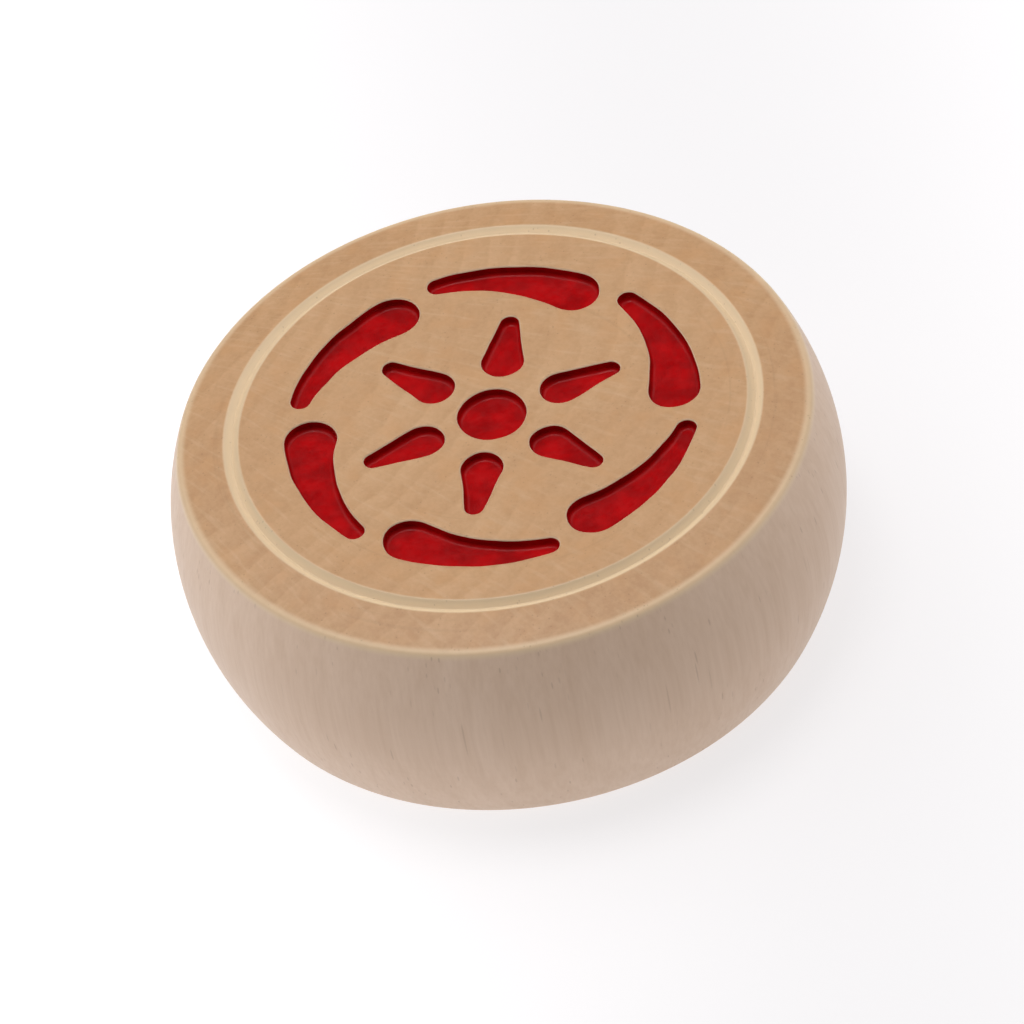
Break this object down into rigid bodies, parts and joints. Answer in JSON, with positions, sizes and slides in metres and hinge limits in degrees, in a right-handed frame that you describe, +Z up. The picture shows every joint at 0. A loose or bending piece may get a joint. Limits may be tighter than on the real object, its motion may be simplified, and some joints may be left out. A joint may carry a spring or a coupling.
{
  "type": "xiangqi piece",
  "caption": "Turned wooden xiangqi piece: a barrel-sided disc with a flat base, a ring groove round its field and a carved, red-painted mark.",
  "frame": {"origin": "centre of the flat base, on the plane that the piece stands on", "axes": "+Z up along the axis of the disc, out of the carved field; +X and +Y across the disc"},
  "size_m": [0.04, 0.04, 0.015],
  "materials": {
    "wood": "clear satin lacquer on pale turned wood",
    "red_paint": "deep red paint with a satin sheen"
  },
  "bodies": {
    "root": {"wooden_disc": "wood", "hub_paint": "red_paint", "spoke_paint_1": "red_paint", "spoke_paint_2": "red_paint", "spoke_paint_3": "red_paint", "spoke_paint_4": "red_paint", "spoke_paint_5": "red_paint", "spoke_paint_6": "red_paint", "felloe_paint_1": "red_paint", "felloe_paint_2": "red_paint", "felloe_paint_3": "red_paint", "felloe_paint_4": "red_paint", "felloe_paint_5": "red_paint", "felloe_paint_6": "red_paint"}
  },
  "joints": []
}
